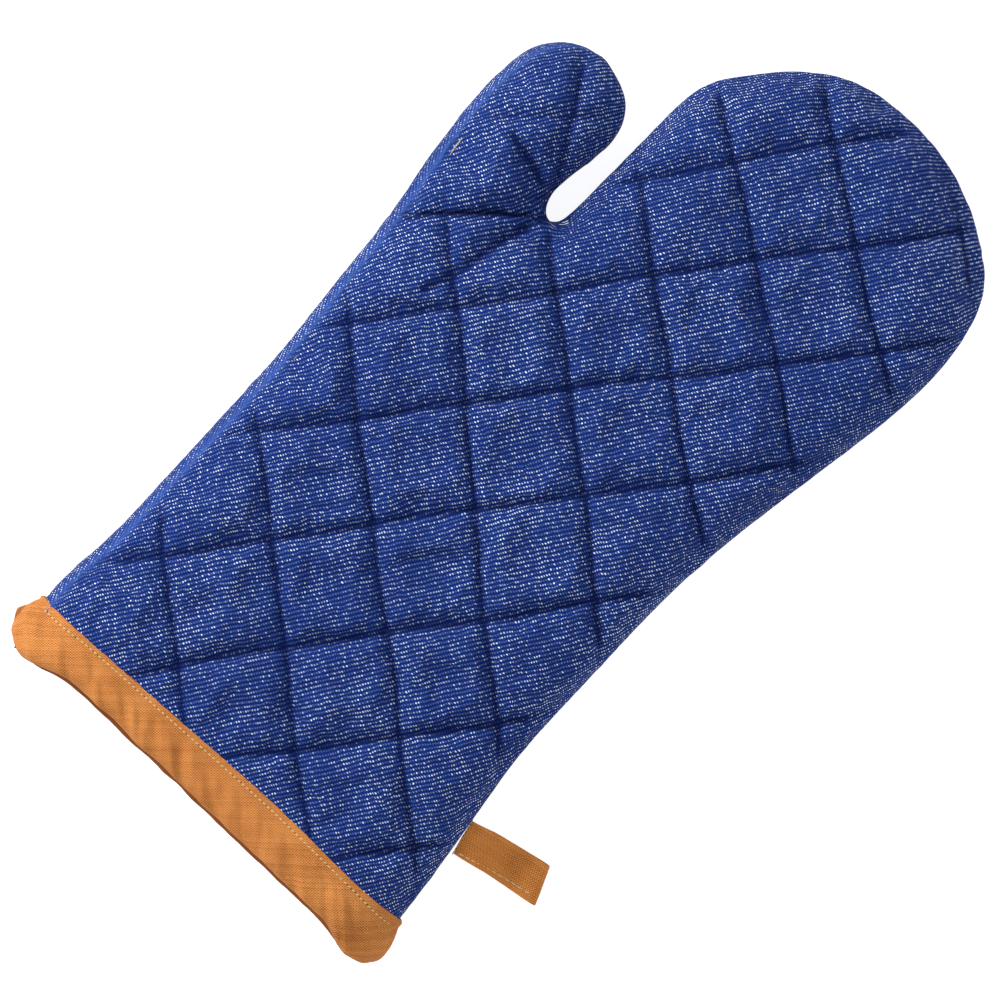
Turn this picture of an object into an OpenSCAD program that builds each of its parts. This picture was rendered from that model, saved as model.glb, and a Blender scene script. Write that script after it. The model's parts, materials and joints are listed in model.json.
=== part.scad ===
// Quilted oven mitt, lying flat on its back panel.
// +Y runs from the cuff to the fingertips, the thumb is at -X and +Z is up.
// The origin is on the surface that the mitt lies on, in the middle of its outline.

/* [Size] */
// Length from the cuff's edge to the fingertips
mitt_length = 330; // [280:5:400]
// Height of the side seam above the surface that the mitt lies on
seam_height = 15; // [13:0.5:17]
// How far the front panel crowns above the side seam
front_crown = 21; // [18:0.5:24]
// How far the back panel hangs below the side seam before the surface flattens it
back_crown = 16.5; // [15.5:0.5:18]

/* [Layers] */
// Thickness of the outer cotton twill
shell_thickness = 1; // [0.8:0.1:1.2]
// Thickness of the cotton wadding
wadding_thickness = 5.4; // [4:0.2:6]
// Thickness of the cotton lining
lining_thickness = 0.7; // [0.5:0.1:0.9]
// Gap that the side seam's stitches fill between the two panels
seam_gap = 0.5; // [0.4:0.1:0.8]

/* [Quilting] */
// Distance between neighbouring lines of quilting
quilt_pitch = 34.3; // [28:0.1:40]
// Turn of the quilting's square grid from the mitt's long axis
quilt_turn = 48.7; // [40:0.1:50]
// Thickness of the quilting thread's lockstitch
quilt_thread = 0.8; // [0.7:0.05:0.9]

/* [Cuff binding] */
// Depth of the bias binding, seen from the front, with the fold laid flat
binding_depth = 20; // [12:0.5:22]
// Thickness of the folded bias binding
binding_thickness = 1.8; // [1.4:0.1:2]
// Distance of the topstitching from the binding's inner edge
topstitch_inset = 2.5; // [1.5:0.1:3.5]

/* [Thumb] */
// How far the thumb folds up over the front panel, in degrees
thumb_fold = 40; // [20:1:50]
// Direction of the stitched line that the thumb folds along, in degrees
fold_line_turn = 40.4; // [36:0.2:44]

/* [Hanging loop] */
// Width of the hanging loop's folded tape
loop_width = 14; // [10:0.5:18]
// How far the loop reaches out from the side seam
loop_reach = 31.3; // [26:0.1:36]
// Thickness of the loop's tape
tape_thickness = 1.1; // [0.8:0.1:1.4]
// Clear height inside the loop, where it lies on the surface
loop_opening = 5.2; // [4.8:0.1:7]
// Turn of the loop from the mitt's cross direction, in degrees
loop_turn = 10.5; // [0:0.5:14]

/* [Hidden] */

denim = [0.18, 0.27, 0.49];
quilt_blue = [0.13, 0.2, 0.38];
tan = [0.69, 0.44, 0.24];
cream = [0.9, 0.82, 0.62];
natural = [0.88, 0.85, 0.78];
lining_cotton = [0.8, 0.78, 0.72];

// Everything is drawn at this length and scaled along Y to the driving length
drawn_length = 330;
length_scale = mitt_length / drawn_length;
cuff_edge = -mitt_length / 2;
far = 400;

// Stations of the hand and finger pouch: [y, left x, right x, crown factor]
POUCH = [
    [-178, -92.8, 64.8, 0.77], [-150, -92.8, 64.6, 0.77], [-105, -90.0, 61.8, 0.88],
    [-60, -89.0, 58.8, 0.97], [0, -90.2, 61.4, 1], [18, -90.6, 63.8, 1],
    [42, -72.0, 68.5, 1], [63, -49.8, 72.6, 1], [80, -45.4, 76.0, 1], [103, -44.2, 79.2, 1],
    [121, -43.0, 78.5, 0.99], [135, -37.5, 75.0, 0.95], [147, -28.0, 65.4, 0.85],
    [156, -16.5, 51.8, 0.70], [162, -5.5, 39.5, 0.50], [165, 7.0, 29.0, 0.26]
];
// Stations of the thumb, which starts inside the pouch: [y, left x, right x, crown factor]
THUMB = [
    [-8, -81.0, -61.0, 0.30], [18, -88.8, -52.0, 0.70], [32, -91.6, -47.5, 0.84],
    [62, -94.9, -50.8, 0.88], [73, -95.3, -54.6, 0.87], [88, -95.2, -53.0, 0.86],
    [99, -92.8, -52.6, 0.79], [107, -88.6, -56.0, 0.60], [113, -79.5, -65.5, 0.25]
];
// [half width that insets in full, y where the tip starts to inset, y of the tip]
POUCH_TIP = [60, 100, 165];
THUMB_TIP = [21, 70, 113];
POUCH_POINTS = 20;
THUMB_POINTS = 16;
// Share of the crown above which an inset takes its full depth
full_crown = 0.85;
// Power of the cross-section's rounding, where 2 is an ellipse
SECTION_POWER = 2.5;

// Depths of the layers' faces below the outer surface
wadding_depth = shell_thickness;
lining_depth = wadding_depth + wadding_thickness;
pocket_depth = lining_depth + lining_thickness;

// The quilting's grid: where one line of each direction passes the origin
steep_line_offset = 11;
flat_line_offset = 13.8;
quilt_lines_each_way = 7;
thread_width = 0.9;
// Part of the thread's thickness that is pulled into the cloth
thread_sunk = 0.6;
quilt_step = 11;
least_stitch_points = 4;
// The flat lines are sewn over the steep ones
crossing_lift = 0.06;
STEEP = [quilt_turn, steep_line_offset, 0];
FLAT = [quilt_turn - 90, flat_line_offset, crossing_lift];
// The quilting ends where the panel turns down this close to the seam
quilt_end_rise = 6.6;

// The layers stop this far inside the binding's fold
raw_edge = cuff_edge + binding_thickness;
binding_inner_edge = cuff_edge + binding_depth;
stitch_height = 0.45;
stitch_width = 0.8;

// The thumb's fold line runs from the crotch to the thumb's outer edge
crotch = [-50.5, 63 * length_scale];
fold_clearance = 0.4;

// The loop is sewn in the right side seam
loop_base = [62.9, -110 * length_scale];
bartack_length = loop_width - 1;
bartack_height = 3;
bartack_depth = 0.7;
loop_start = 0.8;
tape_drop_low = 12;
tape_drop_high = 15;
tape_spread = 0.8;
loop_stitch_inset = 1.8;
tape_steps = 8;
fold_steps = 10;

function clamp01(a) = min(max(a, 0), 1);
function signed_power(a) = sign(a) * pow(abs(a), 2 / SECTION_POWER);
function inset(size, depth, full_at) = size * (1 - depth / max(size, full_at));

// One cross-section, inset by depth and flattened where it meets the surface
function section(station, tip, points, depth) =
    let (
        middle = (station[1] + station[2]) / 2,
        half_width = inset((station[2] - station[1]) / 2, depth, tip[0]),
        front = inset(front_crown * station[3], depth, full_crown * front_crown),
        back = inset(back_crown * station[3], depth, full_crown * back_crown),
        y = station[0] - depth * clamp01((station[0] - tip[1]) / (tip[2] - tip[1]))
    )
    [for (i = [0 : points - 1])
        let (
            turn = 360 * i / points,
            rise = signed_power(sin(turn)) * (sin(turn) > 0 ? front : back)
        )
        [middle + half_width * signed_power(cos(turn)),
            y * length_scale,
            max(seam_height + rise, depth)]];

// A closed skin through the cross-sections
module loft(stations, tip, points, depth) {
    rows = len(stations);
    sides = [for (row = [0 : rows - 2], i = [0 : points - 1])
        let (a = row * points + i, b = row * points + (i + 1) % points)
        each [[a, b, a + points], [b, b + points, a + points]]];
    cuff_cap = [[for (i = [points - 1 : -1 : 0]) i]];
    tip_cap = [[for (i = [0 : points - 1]) (rows - 1) * points + i]];
    polyhedron(
        [for (station = stations) each section(station, tip, points, depth)],
        concat(sides, cuff_cap, tip_cap));
}

// The whole mitt's form, inset by depth below its outer surface
module form(depth) {
    loft(POUCH, POUCH_TIP, POUCH_POINTS, depth);
    loft(THUMB, THUMB_TIP, THUMB_POINTS, depth);
}

// A layer between two depths, cut off where the binding folds round it
module layer(outer_depth, inner_depth) {
    difference() {
        form(outer_depth);
        form(inner_depth);
        translate([-far / 2, raw_edge - far, -far / 2]) cube(far);
    }
}

module above_seam() {
    translate([-far / 2, -far / 2, seam_height + seam_gap / 2]) cube(far);
}

module below_seam() {
    translate([-far / 2, -far / 2, seam_height - seam_gap / 2 - far]) cube(far);
}

module in_seam() {
    translate([-far / 2, -far / 2, seam_height - seam_gap / 2]) cube([far, far, seam_gap]);
}

// The thumb's side of the fold line and of the slot between thumb and fingers
module thumb_side() {
    left = [crotch[0] - far * cos(fold_line_turn), crotch[1] - far * sin(fold_line_turn)];
    linear_extrude(far, center = true)
        polygon([crotch, [crotch[0], far], [left[0], far], left]);
}

// The wedge that leaves room for the thumb to fold up about the line at seam height
module fold_notch() {
    spread = far * tan(thumb_fold / 2);
    translate([crotch[0], crotch[1], seam_height])
        rotate([90, 0, fold_line_turn - 90])
            linear_extrude(far)
                polygon([
                    [-fold_clearance, -far], [fold_clearance, -far], [fold_clearance, 0],
                    [fold_clearance + spread, far], [-fold_clearance - spread, far],
                    [-fold_clearance, 0]]);
}

// Cuts its children to the hand's side of the fold line, as one closed mesh
module hand_part() {
    resize([0, 0, 0]) difference() {
        children();
        thumb_side();
        fold_notch();
    }
}

// Cuts its children to the thumb's side of the fold line, as one closed mesh
module thumb_part() {
    resize([0, 0, 0]) difference() {
        intersection() {
            children();
            thumb_side();
        }
        fold_notch();
    }
}

// Half of a cross-section's outline, as [share of the half width, share of the crown]
arch = [for (i = [POUCH_POINTS / 2 : -1 : 0])
    let (turn = 360 * i / POUCH_POINTS)
    [signed_power(cos(turn)), signed_power(sin(turn))]];

function station_value(stations, y, column) = lookup(y, [for (s = stations) [s[0], s[column]]]);

// Height of one loft's panel above or below the seam, or 0 outside the loft
function loft_rise(stations, crown, x, y) =
    let (
        drawn_y = y / length_scale,
        left = station_value(stations, drawn_y, 1),
        right = station_value(stations, drawn_y, 2),
        across = 2 * (x - (left + right) / 2) / (right - left)
    )
    drawn_y < stations[0][0] || drawn_y > stations[len(stations) - 1][0] || abs(across) > 1
        ? 0 : crown * station_value(stations, drawn_y, 3) * lookup(across, arch);

function panel_rise(crown, x, y) = max(loft_rise(POUCH, crown, x, y), loft_rise(THUMB, crown, x, y));

// One thread along the points, lying on the panel and partly sunk in it
module thread(points, across, crown, is_front, lift) {
    function height(p) =
        is_front ? seam_height + panel_rise(crown, p[0], p[1])
                 : max(seam_height - panel_rise(crown, p[0], p[1]), quilt_thread - thread_sunk);
    count = len(points);
    low = lift + (is_front ? -thread_sunk : thread_sunk - quilt_thread);
    high = low + quilt_thread;
    corners = [for (p = points)
        let (z = height(p))
        each [for (corner = [[-1, low], [1, low], [1, high], [-1, high]])
            [p[0] + across[0] * corner[0] * thread_width / 2,
                p[1] + across[1] * corner[0] * thread_width / 2,
                z + corner[1]]]];
    walls = [for (row = [0 : count - 2], i = [0 : 3])
        let (a = row * 4 + i, b = row * 4 + (i + 1) % 4)
        each [[a, b, a + 4], [b, b + 4, a + 4]]];
    polyhedron(corners, concat(walls, [[3, 2, 1, 0], [for (i = [0 : 3]) (count - 1) * 4 + i]]));
}

// One direction's threads over one loft's panel
module quilting(direction, stations, crown, is_front) {
    across = [cos(direction[0]), sin(direction[0])];
    along = [-across[1], across[0]];
    for (line = [-quilt_lines_each_way : quilt_lines_each_way]) {
        foot = across * (direction[1] + line * quilt_pitch);
        points = [for (t = [-far / 2 : quilt_step : far / 2])
            let (p = foot + along * t)
            if (p[1] > binding_inner_edge && loft_rise(stations, crown, p[0], p[1]) > quilt_end_rise)
                p];
        if (len(points) >= least_stitch_points)
            thread(points, across, crown, is_front, direction[2]);
    }
}

module front_of() {
    intersection() {
        children();
        above_seam();
    }
}

module back_of() {
    intersection() {
        children();
        below_seam();
    }
}

module seam_thread() {
    intersection() {
        layer(shell_thickness / 2, lining_depth);
        in_seam();
    }
}

module front_shell() color(denim) hand_part() front_of() layer(0, wadding_depth);
module back_shell() color(denim) hand_part() back_of() layer(0, wadding_depth);
module front_wadding() color(natural) hand_part() front_of() layer(wadding_depth, lining_depth);
module back_wadding() color(natural) hand_part() back_of() layer(wadding_depth, lining_depth);
module front_lining() color(lining_cotton) hand_part() front_of() layer(lining_depth, pocket_depth);
module back_lining() color(lining_cotton) hand_part() back_of() layer(lining_depth, pocket_depth);
module front_quilting_steep() color(quilt_blue) hand_part() quilting(STEEP, POUCH, front_crown, true);
module front_quilting_flat() color(quilt_blue) hand_part() quilting(FLAT, POUCH, front_crown, true);
module back_quilting_steep() color(quilt_blue) hand_part() quilting(STEEP, POUCH, back_crown, false);
module back_quilting_flat() color(quilt_blue) hand_part() quilting(FLAT, POUCH, back_crown, false);
module side_seam() color(quilt_blue) hand_part() seam_thread();

module thumb_front_shell() color(denim) thumb_part() front_of() layer(0, wadding_depth);
module thumb_back_shell() color(denim) thumb_part() back_of() layer(0, wadding_depth);
module thumb_front_wadding() color(natural) thumb_part() front_of() layer(wadding_depth, lining_depth);
module thumb_back_wadding() color(natural) thumb_part() back_of() layer(wadding_depth, lining_depth);
module thumb_front_lining() color(lining_cotton) thumb_part() front_of() layer(lining_depth, pocket_depth);
module thumb_back_lining() color(lining_cotton) thumb_part() back_of() layer(lining_depth, pocket_depth);
module thumb_front_quilting() color(quilt_blue) thumb_part() {
    quilting(STEEP, THUMB, front_crown, true);
    quilting(FLAT, THUMB, front_crown, true);
}
module thumb_back_quilting() color(quilt_blue) thumb_part() {
    quilting(STEEP, THUMB, back_crown, false);
    quilting(FLAT, THUMB, back_crown, false);
}
module thumb_seam() color(quilt_blue) thumb_part() seam_thread();

// Bias binding folded over the raw edges of all the layers
module cuff_binding() {
    color(tan) resize([0, 0, 0]) difference() {
        form(-binding_thickness);
        form(pocket_depth + binding_thickness);
        layer(0, pocket_depth);
        translate([-far / 2, cuff_edge - far, -far / 2]) cube(far);
        translate([-far / 2, binding_inner_edge, -far / 2]) cube(far);
    }
}

// Running stitch round the outside of the binding
module cuff_topstitch() {
    color(cream) resize([0, 0, 0]) intersection() {
        difference() {
            form(-binding_thickness - stitch_height);
            form(-binding_thickness);
        }
        translate([-far / 2, binding_inner_edge - topstitch_inset - stitch_width / 2, -far / 2])
            cube([far, stitch_width, far]);
    }
}

// Places its children at the loop's sewn edge, with +X pointing out along the tape
module at_loop() {
    translate([loop_base[0], loop_base[1], 0]) rotate(loop_turn) children();
}

// Dense stitches that close the side seam over the loop's ends
module loop_bartack() {
    color(cream) at_loop()
        translate([-bartack_depth, -bartack_length / 2, seam_height - bartack_height / 2])
            cube([bartack_depth, bartack_length, bartack_height]);
}

// Height of the tape's middle line, falling from the seam to where it lies level
function tape_height(x, level, start, drop) =
    level + (start - level) * (1 + cos(180 * clamp01(x / drop))) / 2;

low_level = stitch_height + tape_thickness / 2;
fold_radius = (loop_opening + tape_thickness) / 2;
fold_x = loop_reach - fold_radius - tape_thickness / 2;

// Middle line of the tape from its lower sewn end, round the fold and back, in the XZ plane
tape_line = concat(
    [for (i = [0 : tape_steps])
        let (x = loop_start + (fold_x - loop_start) * i / tape_steps)
        [x, tape_height(x, low_level, seam_height - tape_spread, tape_drop_low)]],
    [for (i = [1 : fold_steps - 1])
        let (turn = -90 + 180 * i / fold_steps)
        [fold_x + fold_radius * cos(turn), low_level + fold_radius * (1 + sin(turn))]],
    [for (i = [tape_steps : -1 : 0])
        let (x = loop_start + (fold_x - loop_start) * i / tape_steps)
        [x, tape_height(x, low_level + 2 * fold_radius, seam_height + tape_spread, tape_drop_high)]]);

// The tape line moved sideways; positive distances are on the outside of the loop
function moved_line(distance) =
    [for (i = [0 : len(tape_line) - 1])
        let (
            before = tape_line[max(i - 1, 0)],
            after = tape_line[min(i + 1, len(tape_line) - 1)],
            along = (after - before) / norm(after - before)
        )
        tape_line[i] + distance * [along[1], -along[0]]];

// A band that follows the tape between two distances from its middle line
module tape_band(inside, outside, width) {
    inner = moved_line(inside);
    rotate([90, 0, 0])
        linear_extrude(width, center = true)
            polygon(concat(moved_line(outside), [for (i = [len(inner) - 1 : -1 : 0]) inner[i]]));
}

module hanging_loop() {
    color(tan) at_loop() tape_band(-tape_thickness / 2, tape_thickness / 2, loop_width);
}

// Stitching that closes the tape's folded edges
module loop_stitch() {
    color(cream) at_loop()
        translate([0, loop_stitch_inset - loop_width / 2, 0])
            tape_band(tape_thickness / 2, tape_thickness / 2 + stitch_height, stitch_width);
}

front_shell();
back_shell();
front_wadding();
back_wadding();
front_lining();
back_lining();
front_quilting_steep();
front_quilting_flat();
back_quilting_steep();
back_quilting_flat();
side_seam();
cuff_binding();
cuff_topstitch();
loop_bartack();
thumb_front_shell();
thumb_back_shell();
thumb_front_wadding();
thumb_back_wadding();
thumb_front_lining();
thumb_back_lining();
thumb_front_quilting();
thumb_back_quilting();
thumb_seam();
hanging_loop();
loop_stitch();
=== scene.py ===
"""Looks of a quilted oven mitt that lies on its back panel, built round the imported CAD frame.

Lengths are in millimetres up to mesh_object(), which turns them into Blender's metres.
"""

import json
import math

import bmesh
import bpy
import numpy as np
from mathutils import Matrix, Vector, geometry, noise
from mathutils.bvhtree import BVHTree


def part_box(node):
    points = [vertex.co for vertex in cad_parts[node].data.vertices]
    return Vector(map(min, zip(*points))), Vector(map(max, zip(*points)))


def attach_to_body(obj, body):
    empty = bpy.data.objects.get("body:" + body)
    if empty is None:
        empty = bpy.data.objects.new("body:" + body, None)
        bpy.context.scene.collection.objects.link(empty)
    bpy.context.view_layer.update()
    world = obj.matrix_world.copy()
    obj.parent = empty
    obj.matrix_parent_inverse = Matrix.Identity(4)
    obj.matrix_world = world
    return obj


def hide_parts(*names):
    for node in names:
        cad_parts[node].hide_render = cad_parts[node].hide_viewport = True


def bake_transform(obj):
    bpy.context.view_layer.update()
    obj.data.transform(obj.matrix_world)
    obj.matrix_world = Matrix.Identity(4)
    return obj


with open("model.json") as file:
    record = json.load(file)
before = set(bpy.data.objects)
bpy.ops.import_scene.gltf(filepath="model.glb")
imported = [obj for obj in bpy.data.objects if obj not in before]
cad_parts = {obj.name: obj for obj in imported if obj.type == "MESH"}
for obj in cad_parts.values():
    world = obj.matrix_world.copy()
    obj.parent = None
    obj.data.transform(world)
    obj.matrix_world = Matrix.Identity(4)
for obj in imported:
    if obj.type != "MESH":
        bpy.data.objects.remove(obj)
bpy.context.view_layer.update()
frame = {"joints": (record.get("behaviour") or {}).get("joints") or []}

# ---------------------------------------------------------------- sizes from the frame
MM = 0.001
SEAM_Z = sum(corner.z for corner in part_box("side_seam")) / 2 / MM
FRONT_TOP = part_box("front_shell")[1].z / MM
BINDING_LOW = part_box("cuff_binding")[0].y / MM
BINDING_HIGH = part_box("cuff_binding")[1].y / MM
JOINTS = {joint["name"]: joint for joint in frame["joints"]}
CROTCH = np.array(JOINTS["thumb_flex"]["pos_m"][:2]) / MM
FOLD_ALONG = -np.array(JOINTS["thumb_flex"]["axis"][:2])
FOLD_NORMAL = np.array([FOLD_ALONG[1], -FOLD_ALONG[0]])
LOOP_BASE = np.array(JOINTS["loop_swing"]["pos_m"][:2]) / MM
LOOP_OUT = np.array([-JOINTS["loop_swing"]["axis"][1], JOINTS["loop_swing"]["axis"][0]])

# ---------------------------------------------------------------- driving sizes
PUFF = 2.6  # how far the wadding pushes the front above its quilting
FRONT_CROWN = FRONT_TOP - SEAM_Z - PUFF
BACK_CROWN = 16.5
EDGE_ROUNDING = 30.0
EDGE_POWER = 2.2
CUFF_CROWN = 0.77  # share of the crown's height that is left at the cuff
CUFF_NARROWS = (-150.0, -95.0)
GROOVE_DEPTH = 3.8
GROOVE_WIDTH = 2.1
SHADE_WIDTH = 1.5
GROOVE_FADE = 11.0  # a groove runs out over this distance from the seam
CLOTH = 0.8
WADDING = 5.4
LINING = 0.6
GAP = 0.25  # between the outer cloth and the wadding
GRID_STEP = 2.1
LINE_STEP = 1.9
QUILT_TURN = math.radians(49.2)
SEAM_INSET = 3.5  # the seam lies this far in from the left edge
LEAST_INSET = 0.3  # and this far everywhere else
FRONT_RINGS = (0.0, 0.5, 1.4, 2.8, 4.6)
BACK_RINGS = (0.0, 0.4, 1.3, 2.8, 4.6)
RIDGE = 0.7  # height of the ridge along the left seam
RIDGE_WIDTH = 1.1
RIDGE_CLEARANCE = 1.3
TUCK = 0.1
TUCK_DEPTH = 0.3
DRAG = -1.5  # how far the steep quilting drags the rows of the weave
DRAG_REACH = 3.0
ROW_DIRECTION = 54.7
NEAR_BINDING = (BINDING_HIGH + 3.5, BINDING_HIGH + 13)  # and over this from the cuff
FOLD_LENGTH = 54.0
CROTCH_EDGE = (0.2, -1.1)
STRIP_ROWS = (0.12, 0.35, 0.65, 1.0)
FRONT_CUFF = BINDING_LOW + 13.5  # the panels' raw edges, inside the binding
BACK_CUFF = BINDING_LOW + 10.0

# Outline seen from above, from the cuff's left end up round the thumb and fingers to its right end
OUTLINE = [
    (-93.2, -172), (-93.2, -152), (-93.0, -131), (-90.4, -109), (-89.5, -75), (-88.6, -31.5),
    (-89.9, -2), (-91.2, 28), (-93.7, 48), (-95.3, 68), (-95.4, 83), (-93.4, 97.5),
    (-89.7, 105), (-84, 110.5), (-77.5, 113.2), (-71, 113.8), (-64.6, 112), (-58.2, 108.8),
    (-54.3, 104), (-52.3, 98), (-52.1, 91), (-53.3, 83.5), (-54.6, 77), (-55.3, 70.5),
    (-54.5, 66), (-52.6, 63), (-50.3, 61.9), (-48.2, 63), (-46.8, 66.5), (-45.8, 76),
    (-44.4, 100), (-43, 121), (-39.5, 132), (-32.5, 141), (-22.5, 151.7), (-8, 161.3),
    (8, 165), (27, 164.4), (43, 160.3), (59, 151.8), (70.3, 142), (75.8, 133), (78.8, 119),
    (79.2, 103), (76.4, 81.5), (69.8, 49), (64.3, 20.5), (61, -6), (59.4, -45), (58.8, -75),
    (60.4, -95), (62.7, -117), (64.5, -140), (64.9, -152), (64.9, -172),
]
# Quilting lines: (offset along the family's normal, lean)
STEEP_LINES = [
    (-125.8, 0.02), (-90.7, 0.014), (-57.0, 0.014), (-22.8, 0.041), (12.3, 0.018),
    (47.2, -0.037), (81.7, -0.056), (116.4, -0.072), (150.4, -0.07),
]
FLAT_LINES = [
    (-85.7, -0.034), (-54.4, -0.011), (-22.0, 0.011), (12.8, -0.001), (47.9, -0.013),
    (82.8, 0.006), (122.0, 0.035),
]
# Lines sewn on the thumb, and the creases that gather at the crotch: (points, depth, width)
THUMB_LINES = [
    ([(-78.2, 113), (-67.8, 93.8), (-57.2, 72.5)], 3.2, 2.4),
    ([(-94.5, 66.5), (-85.1, 75.5), (-66, 92.5), (-52.5, 104)], 2.8, 2.4),
]
CREASES = [
    ([(-52.4, 60.5), (-56.5, 48), (-60.5, 31), (-66, 17)], 4.8, 3.2),
    ([(-54.8, 67), (-65, 71), (-77, 74)], 4.6, 3.0),
    ([(-49.5, 60.5), (-41, 51), (-30, 44)], 2.8, 3.0),
    ([(-54.4, 65.5), (-57.2, 73), (-61.5, 83)], 4.8, 2.4),
]


def smoothstep(value, low, high):
    share = np.clip((value - low) / (high - low), 0, 1)
    return share * share * (3 - 2 * share)


def resampled(points, step):
    """Points at an even distance along a polyline, its ends included."""
    points = np.asarray(points, float)
    lengths = np.r_[0, np.cumsum(np.linalg.norm(np.diff(points, axis=0), axis=1))]
    places = np.linspace(0, lengths[-1], max(2, round(lengths[-1] / step) + 1))
    return np.stack([np.interp(places, lengths, column) for column in points.T], axis=1)


def smooth_curve(points, step):
    """A Catmull-Rom curve through the points, resampled evenly."""
    points = np.asarray(points, float)
    padded = np.vstack([2 * points[0] - points[1], points, 2 * points[-1] - points[-2]])
    shares = np.linspace(0, 1, 13)[:-1, None]
    spans = []
    for before, start, end, after in zip(padded, padded[1:], padded[2:], padded[3:]):
        spans.append(0.5 * (
            2 * start + (end - before) * shares
            + (2 * before - 5 * start + 4 * end - after) * shares ** 2
            + (3 * start - before - 3 * end + after) * shares ** 3))
    return resampled(np.vstack(spans + [points[-1:]]), step)


def nearest(points, line):
    """Distance from each point to a polyline, and the index of its nearest segment."""
    start, span = line[:-1], np.diff(line, axis=0)
    best = np.full(len(points), np.inf)
    where = np.zeros(len(points), int)
    for low in range(0, len(points), 2000):
        part = points[low:low + 2000, None] - start
        share = np.clip((part * span).sum(2) / np.maximum((span ** 2).sum(1), 1e-9), 0, 1)
        gap = np.linalg.norm(part - share[..., None] * span, axis=2)
        where[low:low + 2000] = gap.argmin(1)
        best[low:low + 2000] = gap.min(1)
    return best, where


def is_inside(points, polygon):
    """Whether each point is inside a closed polygon."""
    inside = np.zeros(len(points), bool)
    for (x1, y1), (x2, y2) in zip(polygon, np.roll(polygon, -1, axis=0)):
        if y1 != y2:
            crosses = (points[:, 1] < y1) != (points[:, 1] < y2)
            inside ^= crosses & (points[:, 0] < x1 + (points[:, 1] - y1) * (x2 - x1) / (y2 - y1))
    return inside


# ---------------------------------------------------------------- the mitt's form
outline = smooth_curve(OUTLINE, 1.7)
tangent = np.gradient(outline, axis=0)
tangent /= np.linalg.norm(tangent, axis=1)[:, None]
inward = np.stack([tangent[:, 1], -tangent[:, 0]], axis=1)
on_left_edge = smoothstep(-outline[:, 0], 60, 72) * np.clip(inward[:, 0], 0, 1)
seam_inset = LEAST_INSET + (SEAM_INSET - LEAST_INSET) * on_left_edge
fold_end = CROTCH + FOLD_ALONG * FOLD_LENGTH
fold_from = int(np.linalg.norm(outline - (CROTCH + CROTCH_EDGE), axis=1).argmin())
fold_to = int(np.linalg.norm(outline - fold_end, axis=1).argmin())


def dome(distance):
    """The rounding of a panel's edge, from 0 at the edge to 1 on the crown."""
    share = np.clip(distance / EDGE_ROUNDING, 0, 1)
    return (1 - (1 - share) ** EDGE_POWER) ** (1 / EDGE_POWER)


def crown_share(y):
    """The mitt is flatter towards the cuff."""
    return CUFF_CROWN + (1 - CUFF_CROWN) * smoothstep(y, *CUFF_NARROWS)


def front_height(points, distance):
    """Height of the front panel between its grooves."""
    return SEAM_Z + FRONT_CROWN * crown_share(points[:, 1]) * dome(distance)


def back_height(points, distance):
    """The back panel hangs down from the seam and is pressed flat on the surface."""
    free = SEAM_Z - BACK_CROWN * crown_share(points[:, 1]) * dome(distance)
    return 0.5 * (free + np.sqrt(free ** 2 + 1.0)) - 0.4


def on_thumb(points):
    """How far each point is on the thumb's side of the fold line."""
    side = (points - CROTCH) @ FOLD_NORMAL
    return np.where(points[:, 0] < CROTCH[0] + 2, side, -99.0)


def family(lines, turn):
    """Points along each line of one family of the quilting."""
    normal = np.array([math.cos(turn), math.sin(turn)])
    along = np.array([-normal[1], normal[0]])
    places = np.arange(-200, 200, LINE_STEP)
    for number, (offset, lean) in enumerate(lines):
        wander = 0.5 * np.sin(places / 23 + 2.1 * number) + 0.35 * np.sin(places / 9 + number)
        yield normal * (offset + lean * places + wander)[:, None] + along * places[:, None]


def quilting_strokes():
    """Every sewn line and crease, as (points, depth, width, whether it is sewn)."""
    closed = outline[outline[:, 1] > BINDING_LOW - 3]
    for lines, turn in ((STEEP_LINES, QUILT_TURN), (FLAT_LINES, QUILT_TURN - math.pi / 2)):
        for line in family(lines, turn):
            keep = is_inside(line, closed) & (on_thumb(line) < -1.5)
            if keep.sum() > 3:
                yield line[keep], GROOVE_DEPTH, GROOVE_WIDTH, True
    fold = resampled([CROTCH + FOLD_ALONG * 3, fold_end - FOLD_ALONG], LINE_STEP)
    yield fold, GROOVE_DEPTH, GROOVE_WIDTH, True
    for points, depth, width in THUMB_LINES:
        yield smooth_curve(points, LINE_STEP), depth, width, True
    for points, depth, width in CREASES:
        yield smooth_curve(points, LINE_STEP), depth, width, False


strokes = list(quilting_strokes())


def strokes_on(front):
    """The back has the sewn lines only, and the front has the creases too."""
    return [stroke for stroke in strokes if front or stroke[3]]


def groove(points, distance, front):
    """Depth of the grooves at each point, and how near it is to one from 0 to 1, which also sets the
    painted shade in the grooves.
    """
    depth = np.zeros(len(points))
    closeness = np.zeros(len(points))
    for line, full_depth, width, sewn in strokes_on(front):
        gap, where = nearest(points, line)
        reach = np.exp(-gap / width)
        if not sewn:
            reach = reach * np.sqrt(1 - (where + 0.5) / len(line))
        depth = np.maximum(depth, full_depth * reach)
        near = np.exp(-gap / SHADE_WIDTH) * full_depth / GROOVE_DEPTH
        closeness = np.maximum(closeness, near)
    fade = smoothstep(distance, 0, GROOVE_FADE)
    fade = fade * smoothstep(points[:, 1], *NEAR_BINDING)
    return depth * fade, closeness * smoothstep(distance, -6, 6)


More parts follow.
